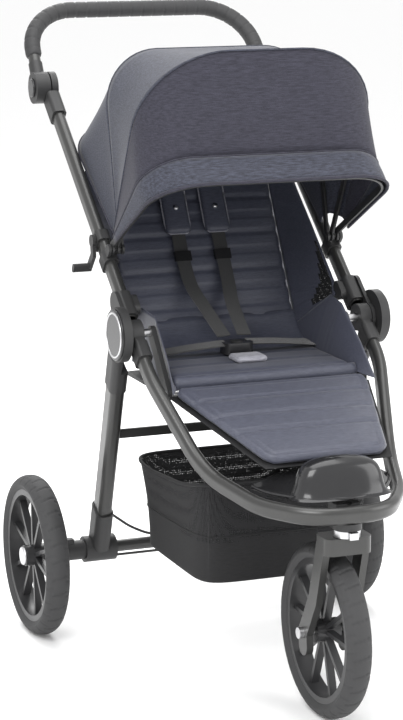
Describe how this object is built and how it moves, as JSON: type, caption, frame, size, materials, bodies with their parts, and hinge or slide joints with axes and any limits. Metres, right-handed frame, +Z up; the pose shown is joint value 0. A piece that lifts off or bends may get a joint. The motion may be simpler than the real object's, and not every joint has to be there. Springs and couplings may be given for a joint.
{
  "type": "baby stroller",
  "caption": "Three-wheeled folding baby stroller with a padded reclining seat, a bowed canopy, a tilting handlebar, a basket and a swivelling front wheel.",
  "frame": {"origin": "on the ground, under the middle of the whole outline", "axes": "+Z up, the stroller faces -Y, +X is its left side as the person pushing it sees it"},
  "size_m": [0.6702, 1.061, 1.123],
  "materials": {
    "frame_paint": "satin charcoal paint",
    "black_plastic": "fine moulded texture",
    "gloss_black": "polished",
    "steel": "brushed",
    "tyre_rubber": "dull",
    "grip_foam": "segmented soft grip",
    "canopy_cloth": "heather slate weave",
    "panel_cloth": "dark slate weave",
    "seat_cloth": "padded slate weave",
    "black_cloth": "black weave and mesh",
    "webbing": "ribbed webbing",
    "light_cloth": "light grey quilt"
  },
  "bodies": {
    "front_frame": {"front_tube": "frame_paint", "hub_brackets": "black_plastic", "hub_pins": "steel", "seat_board": "black_plastic", "seat_pad": "seat_cloth", "crotch_pad": "light_cloth", "buckle": "gloss_black", "waist_straps": "webbing", "calf_rod": "steel", "footrest": "gloss_black", "steerer_housing": "black_plastic", "basket": "black_cloth"},
    "buckle_release": {"buckle_button": "black_plastic"},
    "upper_frame": {"upper_tubes": "frame_paint", "upper_hinges": "black_plastic", "handle_knuckles": "black_plastic", "back_brackets": "black_plastic", "hinge_rod": "steel", "canopy_mounts": "black_plastic", "brake_mount": "black_plastic", "side_panels": "seat_cloth", "canopy_back": "canopy_cloth"},
    "handlebar": {"handle_tube": "frame_paint", "handle_grip": "grip_foam", "handle_hubs": "black_plastic"},
    "handle_release_left": {"adjust_button_left": "gloss_black"},
    "handle_release_right": {"adjust_button_right": "gloss_black"},
    "backrest": {"back_board": "black_plastic", "back_pad": "seat_cloth", "shoulder_pads": "seat_cloth", "shoulder_straps": "webbing"},
    "calf_rest": {"calf_board": "black_plastic", "calf_pad": "seat_cloth"},
    "canopy_rear": {"rear_bow": "black_plastic", "canopy_roof": "canopy_cloth"},
    "canopy_middle": {"middle_bow": "black_plastic", "canopy_front": "panel_cloth"},
    "canopy_nose": {"front_bow": "black_plastic", "canopy_visor": "canopy_cloth"},
    "rear_legs": {"leg_frame": "frame_paint", "leg_castings": "black_plastic", "hub_caps": "gloss_black", "leg_feet": "black_plastic", "axle_stubs": "black_plastic", "cross_tubes": "frame_paint", "rear_axle": "steel", "brake_cable": "black_plastic"},
    "wheel_release_left": {"release_button_left": "black_plastic"},
    "wheel_release_right": {"release_button_right": "black_plastic"},
    "wheel_left": {"tyre_left": "tyre_rubber", "rim_left": "black_plastic"},
    "wheel_right": {"tyre_right": "tyre_rubber", "rim_right": "black_plastic"},
    "front_fork": {"fork": "frame_paint", "front_axle": "steel"},
    "wheel_front": {"tyre_front": "tyre_rubber", "rim_front": "black_plastic"},
    "swivel_ring": {"swivel_lock": "steel"},
    "brake_hand_lever": {"brake_lever": "black_plastic"}
  },
  "joints": [
    {"name": "main_fold", "type": "hinge", "parent": "front_frame", "child": "upper_frame", "pos_m": [0, -0.0585, 0.597], "axis": [-1, 0, 0], "range_deg": [0, 108], "deforming": ["basket", "side_panels"]},
    {"name": "leg_fold", "type": "hinge", "parent": "front_frame", "child": "rear_legs", "pos_m": [0, -0.0585, 0.597], "axis": [-1, 0, 0], "range_deg": [0, 47.05], "deforming": ["basket"]},
    {"name": "handle_tilt", "type": "hinge", "parent": "upper_frame", "child": "handlebar", "pos_m": [0, 0.3995, 0.975], "axis": [-1, 0, 0], "range_deg": [-45, 50]},
    {"name": "recline", "type": "hinge", "parent": "upper_frame", "child": "backrest", "pos_m": [0, 0.1192, 0.54186], "axis": [1, 0, 0], "range_deg": [-37, 0], "deforming": ["side_panels"]},
    {"name": "calf_lift", "type": "hinge", "parent": "front_frame", "child": "calf_rest", "pos_m": [0, -0.1335, 0.506], "axis": [-1, 0, 0], "range_deg": [0, 25]},
    {"name": "canopy_fold", "type": "hinge", "parent": "upper_frame", "child": "canopy_rear", "pos_m": [0, 0.0495, 0.726], "axis": [-1, 0, 0], "range_deg": [0, 34], "deforming": ["canopy_back", "canopy_roof"]},
    {"name": "canopy_middle_fold", "type": "hinge", "parent": "canopy_rear", "child": "canopy_middle", "pos_m": [0, 0.0495, 0.726], "axis": [-1, 0, 0], "range_deg": [0, 32.75], "deforming": ["canopy_roof", "canopy_front"]},
    {"name": "canopy_nose_fold", "type": "hinge", "parent": "canopy_middle", "child": "canopy_nose", "pos_m": [0, 0.0495, 0.726], "axis": [-1, 0, 0], "range_deg": [0, 26.3], "deforming": ["canopy_front", "canopy_visor"]},
    {"name": "brake_pull", "type": "hinge", "parent": "upper_frame", "child": "brake_hand_lever", "pos_m": [-0.231, 0.10655, 0.73322], "axis": [1, 0, 0], "range_deg": [0, 30]},
    {"name": "fork_swivel", "type": "hinge", "parent": "front_frame", "child": "front_fork", "pos_m": [0, -0.4635, 0.3], "axis": [0, 0, 1], "continuous": true},
    {"name": "swivel_lock_turn", "type": "hinge", "parent": "front_frame", "child": "swivel_ring", "pos_m": [0, -0.4635, 0.332], "axis": [0, 0, 1], "range_deg": [0, 35]},
    {"name": "front_spin", "type": "hinge", "parent": "front_fork", "child": "wheel_front", "pos_m": [0, -0.3845, 0.146], "axis": [1, 0, 0], "continuous": true},
    {"name": "left_spin", "type": "hinge", "parent": "rear_legs", "child": "wheel_left", "pos_m": [0.3085, 0.2095, 0.146], "axis": [1, 0, 0], "continuous": true},
    {"name": "right_spin", "type": "hinge", "parent": "rear_legs", "child": "wheel_right", "pos_m": [-0.3085, 0.2095, 0.146], "axis": [1, 0, 0], "continuous": true},
    {"name": "wheel_release_left_press", "type": "slide", "parent": "rear_legs", "child": "wheel_release_left", "axis": [0, 0, -1], "range_m": [0, 0.003], "stiffness_N_per_m": 1200, "springref_m": -0.001},
    {"name": "wheel_release_right_press", "type": "slide", "parent": "rear_legs", "child": "wheel_release_right", "axis": [0, 0, -1], "range_m": [0, 0.003], "stiffness_N_per_m": 1200, "springref_m": -0.001},
    {"name": "handle_release_left_press", "type": "slide", "parent": "handlebar", "child": "handle_release_left", "axis": [-1, 0, 0], "range_m": [0, 0.004], "stiffness_N_per_m": 1200, "springref_m": -0.001},
    {"name": "handle_release_right_press", "type": "slide", "parent": "handlebar", "child": "handle_release_right", "axis": [1, 0, 0], "range_m": [0, 0.004], "stiffness_N_per_m": 1200, "springref_m": -0.001},
    {"name": "buckle_press", "type": "slide", "parent": "front_frame", "child": "buckle_release", "axis": [0, 0, -1], "range_m": [0, 0.003], "stiffness_N_per_m": 900, "springref_m": -0.001}
  ],
  "couplings": [
    {"joint": "leg_fold", "follows": "main_fold", "ratio": 0.4352},
    {"joint": "canopy_middle_fold", "follows": "canopy_fold", "ratio": 0.9618},
    {"joint": "canopy_nose_fold", "follows": "canopy_fold", "ratio": 0.7735}
  ]
}
